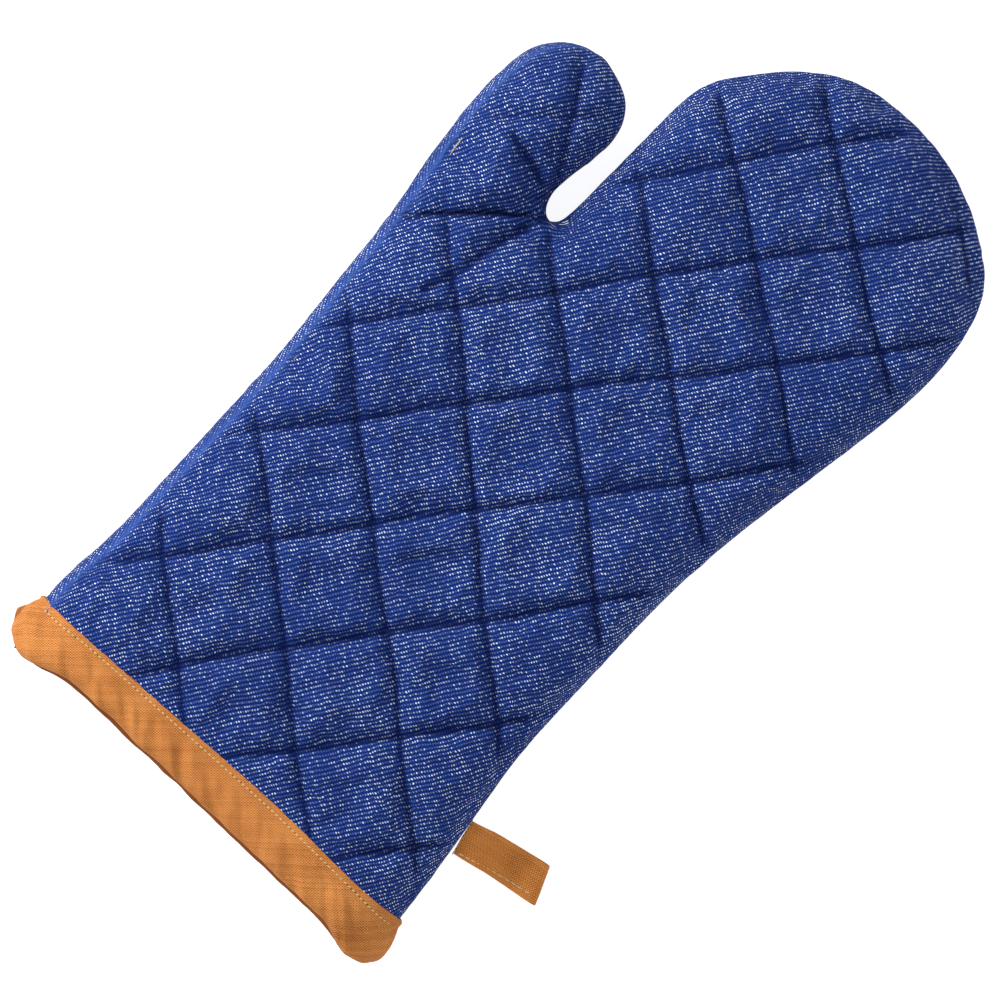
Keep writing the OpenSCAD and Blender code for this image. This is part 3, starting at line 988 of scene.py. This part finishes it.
def make_quilting(made):
    """Separate stitches along every sewn line of both panels."""
    for side in ("front", "back"):
        look = height_lookup(*made[side])
        parts = {"hand": [], "thumb": []}
        for line, _, _, sewn in strokes:
            if sewn:
                distance, _ = nearest(line, outline)
                line = line[(distance > 3.5) & (line[:, 1] > BINDING_HIGH)]
                if len(line) > 3:
                    part = "thumb" if on_thumb(line.mean(0)[None])[0] > 0.5 else "hand"
                    parts[part] += stitches_along(
                        line, look, side == "front", 3.0, 2.3, 0.55, 0.05)
        for part, nodes in (("hand", [f"{side}_quilting_steep", f"{side}_quilting_flat"]),
                            ("thumb", [f"thumb_{side}_quilting"])):
            prefix = side if part == "hand" else f"thumb_{side}"
            piece = mesh_object(f"{prefix}_quilt_stitches", *many(parts[part]), BLUE_THREAD)
            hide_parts(*nodes)
            attach(piece, part)


def make_seam():
    """The thread that closes the side seam, sunk between the two panels."""
    used = np.flatnonzero(outline[:, 1] > BINDING_LOW + 3)
    ring = outline[used] + inward[used] * (seam_inset[used, None] + 0.15)
    height = front_height(ring, seam_inset[used]) + RIDGE * on_left_edge[used] - 0.35
    line = np.column_stack([ring, height])
    low, high = sorted((fold_from - used[0], fold_to - used[0]))
    parts = {"hand": [], "thumb": []}
    sections = (("hand", line[:low + 1]), ("thumb", line[low:high + 1]), ("hand", line[high:]))
    for name, section in sections:
        spots = resampled(section, 2.6)
        for before, spot, after in zip(spots, spots[1:], spots[2:]):
            parts[name].append(capsule(spot, after - before, (0, 0, 1), 2.0, 0.55, 0.45))
    for part, node in (("hand", "side_seam"), ("thumb", "thumb_seam")):
        piece = mesh_object(f"{node}_stitches", *many(parts[part]), BLUE_THREAD)
        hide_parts(node)
        attach(piece, part)


# ---------------------------------------------------------------- cuff binding
STITCH_INSET = 1.8
OUTER_DEPTHS = (0.0, 0.25, 0.7, 1.3, 1.9, 2.5, 3.1, 3.8, 4.8, 5.9, 7.0, 8.1, 9.2)
INNER_DEPTHS = (9.0, 7.5, 6.0, 4.5, 3.0, 1.8, 0.8, 0.2)
FOLD_ROWS = 11
FOLD_DEPTH = 4.0
CUFF_WALL = 6.3  # from the outer cloth in to the binding's inner layer


def cuff_contour():
    """The cuff's closed contour in the XZ plane, from the left end over the front."""
    y = BINDING_LOW + 8
    row = outline[outline[:, 1] < -120]
    left = row[row[:, 0] < 0]
    right = row[row[:, 0] > 0]
    x_left = np.interp(y, left[:, 1], left[:, 0])
    x_right = np.interp(-y, -right[:, 1], right[:, 0])
    turn = np.linspace(-math.pi / 2, math.pi / 2, 1200)
    x = (x_left + x_right) / 2 + (x_right - x_left) / 2 * np.sin(turn)
    flat = np.column_stack([x, np.full(len(x), y)])
    distance = np.minimum(x - x_left, x_right - x)
    front = np.column_stack([x, front_height(flat, distance) - 0.8])
    back = np.column_stack([x, back_height(flat, distance) + 1.2])[::-1]
    loop = resampled(np.vstack([front, back, front[:1]]), 1.25)[:-1]
    tangent_line = np.roll(loop, -2, axis=0) - np.roll(loop, 2, axis=0)
    tangent_line /= np.linalg.norm(tangent_line, axis=1)[:, None]
    outward = np.stack([-tangent_line[:, 1], tangent_line[:, 0]], axis=1)
    return loop, outward, x_left, x_right


def cuff_start(x):
    """The binding's inner edge, which isn't quite square to the mitt."""
    return BINDING_HIGH + 3.8 - 2.8 * float(smoothstep(x, 0, 60))


def cuff_end(x, outward):
    """The cuff's edge slopes down to the loop's side, and the front's stops a little short."""
    across = min(max((x + 60) / 105, 0.0), 1.0)
    end = BINDING_LOW + 6.3 - 4.1 * across
    end -= 2.6 * float(smoothstep(-x, 68, 84)) + 1.7 * float(smoothstep(x, 44, 58))
    end += 3.5 * float(smoothstep(-x, 86, 94)) + 1.5 * float(smoothstep(x, 59, 66))
    inside = float(smoothstep(x, -92, -70) * smoothstep(-x, -62, -44))
    return end + 2.9 * inside * float(smoothstep(outward[1], -0.1, 0.6))


def binding_offset(depth):
    """How far the binding stands off the cloth at a depth below its inner edge."""
    edge = 0.5 + 1.1 * (1 - math.exp(-depth / 0.35))
    dip = 0.6 * math.exp(-((depth - STITCH_INSET) / 0.8) ** 2)
    plump = 1.0 * smoothstep(depth, STITCH_INSET, 8.0)
    return edge - dip + plump


def binding_row(start, end, at_left, at_right):
    """The tape's section at one place: (offset from the cloth, y), round the fold and back in."""
    knob = 0.9 * at_left + 1.2 * at_right
    straight = start - end - FOLD_DEPTH - 3.5 * at_left - 2.5 * at_right
    scale = straight / OUTER_DEPTHS[-1]
    row = [(binding_offset(depth) + knob * smoothstep(depth, -2, 8), start - depth * scale)
           for depth in OUTER_DEPTHS]
    top = binding_offset(OUTER_DEPTHS[-1]) + knob
    middle, half = (top - CUFF_WALL) / 2, (top + CUFF_WALL) / 2
    for i in range(1, FOLD_ROWS + 1):
        turn = math.pi * i / (FOLD_ROWS + 1)
        y = start - straight - (start - straight - end) * math.sin(turn) ** 0.85
        row.append((middle + half * math.cos(turn), y))
    row += [(0.4 * (1 - depth / INNER_DEPTHS[0]) - CUFF_WALL, start - depth * scale)
            for depth in INNER_DEPTHS]
    return row


def make_binding():
    """Bias tape wrapped round the raw edge, puckered, with a knob at each end of the cuff, and painted
    shade on its inner part.
    """
    loop, outward, x_left, x_right = cuff_contour()
    around = np.r_[0, np.cumsum(np.linalg.norm(np.diff(loop, axis=0), axis=1))]
    points, cloth, inside = [], [], []
    for place, out, along in zip(loop, outward, around):
        at_left, at_right = [
            math.exp(-((place[0] - x) / reach) ** 2 - ((place[1] - SEAM_Z) / 9) ** 2)
            for x, reach in ((x_left, 5.0), (x_right, 4.0))]
        start = cuff_start(place[0])
        row = binding_row(start, cuff_end(place[0], out), at_left, at_right)
        run = 0.0
        last = None
        for off, y in row:
            depth = start - y
            lean = along - 0.9 * depth
            pucker = noise.noise(Vector((lean * 0.15, depth * 0.05, 3.1)))
            pucker += 0.6 * noise.noise(Vector((lean * 0.38, depth * 0.1, 8.7)))
            bulge = off + pucker * (0.12 + 2.0 * float(smoothstep(depth, 3.0, 9.0)))
            sag = 0.5 * noise.noise(Vector((along * 0.09, 5.0, 1.0)))
            sag *= float(smoothstep(depth, 6, 13))
            point = np.array([place[0] + out[0] * bulge, y + sag, place[1] + out[1] * bulge])
            if last is not None:
                run += np.linalg.norm(point - last)
            last = point
            points.append(point)
            cloth.append((along, -run, 0))
        # Painted shade: the inner rows and the fold's inner half, which sit in the shade of the mitt's
        # mouth, are marked 0.85 for the dark tan.
        shaded = len(INNER_DEPTHS) + (FOLD_ROWS + 1) // 2
        inside += [0.0] * (len(row) - shaded) + [0.85] * shaded
    width = len(row)
    count = len(loop)
    faces = []
    for i in range(count):
        j = (i + 1) % count
        for k in range(width - 1):
            faces.append([i * width + k, j * width + k, j * width + k + 1, i * width + k + 1])
    points = np.array(points)
    points[:, 2] = np.maximum(points[:, 2], 0.05)
    cloth = np.array(cloth)
    cloth[:, 0] += loop[0][0]
    piece = mesh_object("cuff_bias_binding", points, faces, BINDING)
    set_attribute(piece, "cloth", cloth * MM)
    set_attribute(piece, "inside", inside)
    if piece.data.polygons[3].normal.z < 0 and loop[0][1] > SEAM_Z:
        piece.data.flip_normals()
    smooth = piece.modifiers.new("smooth", "SUBSURF")
    smooth.levels = smooth.render_levels = 1
    apply_modifiers(piece)
    roughened(piece, 0.06, 420.0)
    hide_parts("cuff_binding")
    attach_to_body(piece, "hand")
    make_topstitch(loop)


def make_topstitch(loop):
    """A cream running stitch with a needle hole after each stitch, shown as a small dark capsule of
    painted shade.
    """
    spots = resampled(np.vstack([loop, loop[:1]]), 1.85)[:-1]
    ways = np.roll(spots, -1, axis=0) - np.roll(spots, 1, axis=0)
    ways /= np.linalg.norm(ways, axis=1)[:, None]
    outs = np.stack([-ways[:, 1], ways[:, 0]], axis=1)
    stitches, holes = [], []
    lift = 0.12
    off = float(binding_offset(STITCH_INSET))
    for spot, way, out in zip(spots, ways, outs):
        start = cuff_start(spot[0])
        scale = (start - cuff_end(spot[0], out) - FOLD_DEPTH) / OUTER_DEPTHS[-1]
        y = start - STITCH_INSET * scale
        along = np.array([way[0], 0.16, way[1]])
        up = np.array([out[0], 0, out[1]])
        centre = np.array([spot[0] + out[0] * (off + lift), y, spot[1] + out[1] * (off + lift)])
        stitches.append(capsule(centre, along, up, 1.15, 0.55, 0.45))
        # Painted shade: a dark capsule stands where each needle hole is.
        hole = centre + np.array([way[0], 0, way[1]]) * 0.92 - up * (lift + 0.02)
        holes.append(capsule(hole, along, up, 0.62, 0.6, 0.3))
    points, faces = many(stitches)
    first_holes = len(faces)
    points, faces = many([(points, faces)] + holes)
    piece = mesh_object("cuff_topstitching", points, faces, CREAM_THREAD)
    piece.data.materials.append(HOLE_SHADE)
    for polygon in piece.data.polygons:
        polygon.material_index = int(polygon.index >= first_holes)
    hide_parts("cuff_topstitch")
    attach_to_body(piece, "hand")


# ---------------------------------------------------------------- hanging loop
TAPE_WIDTH = 14.0
TAPE = 1.1
LOOP_REACH = 31.3
LOOP_OPENING = 5.2
EDGE_STITCH = 1.8  # from the tape's edge in to its stitching
TAPE_LOW = 0.45 + TAPE / 2


def drop(x, level, start, over):
    """Height that eases from the seam to a level over a distance."""
    return level + (start - level) * (1 + np.cos(math.pi * np.clip(x / over, 0, 1))) / 2


def tape_line():
    """Middle line of the tape in the loop's own XZ plane, lower end first."""
    radius = (LOOP_OPENING + TAPE) / 2
    fold_x = LOOP_REACH - radius - TAPE / 2
    x = np.linspace(-0.6, fold_x, 26)
    low = np.column_stack([x, drop(x, TAPE_LOW, SEAM_Z - 0.8, 12.0)])
    high = np.column_stack([x, drop(x, TAPE_LOW + 2 * radius, SEAM_Z + 0.8, 15.0)])
    high[:, 1] -= 1.3 * np.sin(math.pi * np.clip((x - 6) / (fold_x - 6), 0, 1)) ** 2
    turn = np.linspace(-math.pi / 2, math.pi / 2, 12)[1:-1]
    bend = np.column_stack([fold_x + radius * np.cos(turn), TAPE_LOW + radius * (1 + np.sin(turn))])
    return np.vstack([low, bend, high[::-1]])


def loop_point(out, side, z):
    """A place in the loop's own directions, in the mitt's frame."""
    across = np.array([-LOOP_OUT[1], LOOP_OUT[0]])
    flat = LOOP_BASE + LOOP_OUT * out + across * side
    return np.array([flat[0], flat[1], z])


def make_loop():
    """The tape with its two edges, and everything that is sewn on it."""
    line = resampled(tape_line(), 0.9)
    ways = np.gradient(line, axis=0)
    ways /= np.linalg.norm(ways, axis=1)[:, None]
    outs = np.stack([ways[:, 1], -ways[:, 0]], axis=1)
    half, thick = TAPE_WIDTH / 2, TAPE / 2
    sides = np.r_[-half, np.linspace(-half + 0.35, half - 0.35, 13), half]
    ring = [(s, 1.0 if abs(s) < half else 0.0) for s in sides]
    ring += [(s, -1.0) for s in sides[-2:0:-1]]
    points, cloth = [], []
    run = np.r_[0, np.cumsum(np.linalg.norm(np.diff(line, axis=0), axis=1))]
    for place, out, length in zip(line, outs, run):
        for side, level in ring:
            wave = 0.16 * noise.noise(Vector((length * 0.2, side * 0.25, 2.0)))
            fullness = 1.0 - 0.28 * math.exp(-((abs(side) - (half - EDGE_STITCH)) / 0.7) ** 2)
            off = level * thick * fullness + wave
            share = place[0] / LOOP_REACH
            reach = place[0] + out[0] * off - 1.3 * share * side / half
            points.append(loop_point(reach, side * (0.9 + 0.12 * share) - 1.1 * share,
                                     place[1] + out[1] * off))
            cloth.append((length, side, 0))
    width, count = len(ring), len(line)
    faces = []
    for low in range(0, (count - 1) * width, width):
        for k in range(width):
            after = (k + 1) % width
            faces.append([low + after, low + k, low + width + k, low + width + after])
    faces += [list(range(width)), [(count - 1) * width + k for k in range(width - 1, -1, -1)]]
    points = np.array(points)
    points[:, 2] = np.maximum(points[:, 2], 0.1)
    piece = mesh_object("loop_tape", points, faces, LOOP_WEAVE)
    set_attribute(piece, "cloth", np.array(cloth) * MM)
    smooth = piece.modifiers.new("smooth", "SUBSURF")
    smooth.levels = smooth.render_levels = 1
    apply_modifiers(piece)
    roughened(piece, 0.05, 420.0)
    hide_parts("hanging_loop")
    bend_with_loop(piece)
    make_loop_stitching(line)
    make_bartack()


def make_loop_stitching(line):
    """A cream running stitch along the loop's edge, on its outer side."""
    side = EDGE_STITCH - TAPE_WIDTH / 2
    origin = loop_point(0, 0, 0)
    spots = resampled(line, 2.6)
    parts = []
    for before, spot, after in zip(spots, spots[1:], spots[2:]):
        way = (after - before) / np.linalg.norm(after - before)
        out = np.array([way[1], -way[0]])
        place = spot + out * (TAPE / 2 * 0.86)
        ahead = loop_point(way[0], 0, way[1]) - origin
        up = loop_point(out[0], 0, out[1]) - origin
        parts.append(capsule(loop_point(place[0], side, place[1]), ahead, up, 2.0, 0.6, 0.5))
    stitch = mesh_object("loop_edge_stitching", *many(parts), CREAM_THREAD)
    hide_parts("loop_stitch")
    bend_with_loop(stitch)


def bend_with_loop(piece):
    """Keeps the piece where it is, with its transform baked into its mesh."""
    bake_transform(piece)


def make_bartack():
    """A zigzag of dense stitches over the loop's sewn ends."""
    parts = []
    count = 17
    for i in range(count):
        side = (i / (count - 1) - 0.5) * (TAPE_WIDTH - 1.5)
        lean = 0.45 if i % 2 else -0.45
        centre = loop_point(-0.35, side, SEAM_Z + 0.4)
        along = loop_point(0, lean, 2.6) - loop_point(0, 0, 0)
        up = loop_point(1, 0, 0) - loop_point(0, 0, 0)
        parts.append(capsule(centre, along, up, 2.7, 0.6, 0.5))
    piece = mesh_object("loop_bartack_stitches", *many(parts), CREAM_THREAD)
    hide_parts("loop_bartack")
    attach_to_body(piece, "hand")


made = make_panels()
make_quilting(made)
make_seam()
make_binding()
make_loop()


# ---------------------------------------------------------------- floor, light and camera
def make_floor():
    half = 1500.0
    points = [(x, y, -0.2) for x, y in ((-half, -half), (half, -half), (half, half), (-half, half))]
    floor = mesh_object("floor", points, [[0, 1, 2, 3]], floor_material())


PHOTO_TURN = math.radians(41.25)
VIEW_CENTRE = (-0.0016, -0.0182)
FRAME_WIDTH = 0.3304
CAMERA_HEIGHT = 1.6
WORLD_LIGHT = 0.55


def photo_way(right, up):
    """A direction given as seen by the camera, in the row frame."""
    cosine, sine = math.cos(PHOTO_TURN), math.sin(PHOTO_TURN)
    return Vector((right * cosine - up * sine, right * sine + up * cosine, 0))


def make_light(name, right, up, height, size, power):
    data = bpy.data.lights.new(name, "AREA")
    data.shape = "DISK"
    data.size = size
    data.energy = power
    light = bpy.data.objects.new(name, data)
    light.location = photo_way(right, up) + Vector((VIEW_CENTRE[0], VIEW_CENTRE[1], height))
    aim = Vector((VIEW_CENTRE[0], VIEW_CENTRE[1], 0)) - light.location
    light.rotation_euler = aim.to_track_quat("-Z", "Y").to_euler()
    bpy.context.scene.collection.objects.link(light)


def make_camera():
    data = bpy.data.cameras.new("camera")
    data.sensor_width = 36
    data.lens = data.sensor_width * CAMERA_HEIGHT / FRAME_WIDTH
    data.clip_start = 0.05
    camera = bpy.data.objects.new("camera", data)
    camera.location = (VIEW_CENTRE[0], VIEW_CENTRE[1], CAMERA_HEIGHT + SEAM_Z * MM)
    camera.rotation_euler = (0, 0, PHOTO_TURN)
    bpy.context.scene.collection.objects.link(camera)
    bpy.context.scene.camera = camera


def make_world():
    world = bpy.data.worlds.new("studio")
    world.use_nodes = True
    background = world.node_tree.nodes["Background"]
    background.inputs["Color"].default_value = (1, 1, 1, 1)
    background.inputs["Strength"].default_value = WORLD_LIGHT
    bpy.context.scene.world = world


make_floor()
make_world()
make_light("key", -0.8, 0.6, 0.6, 0.35, 12.5)
make_light("fill", 0.2, 0.0, 1.2, 1.2, 3.0)
make_camera()
bpy.context.scene.view_settings.view_transform = "Standard"
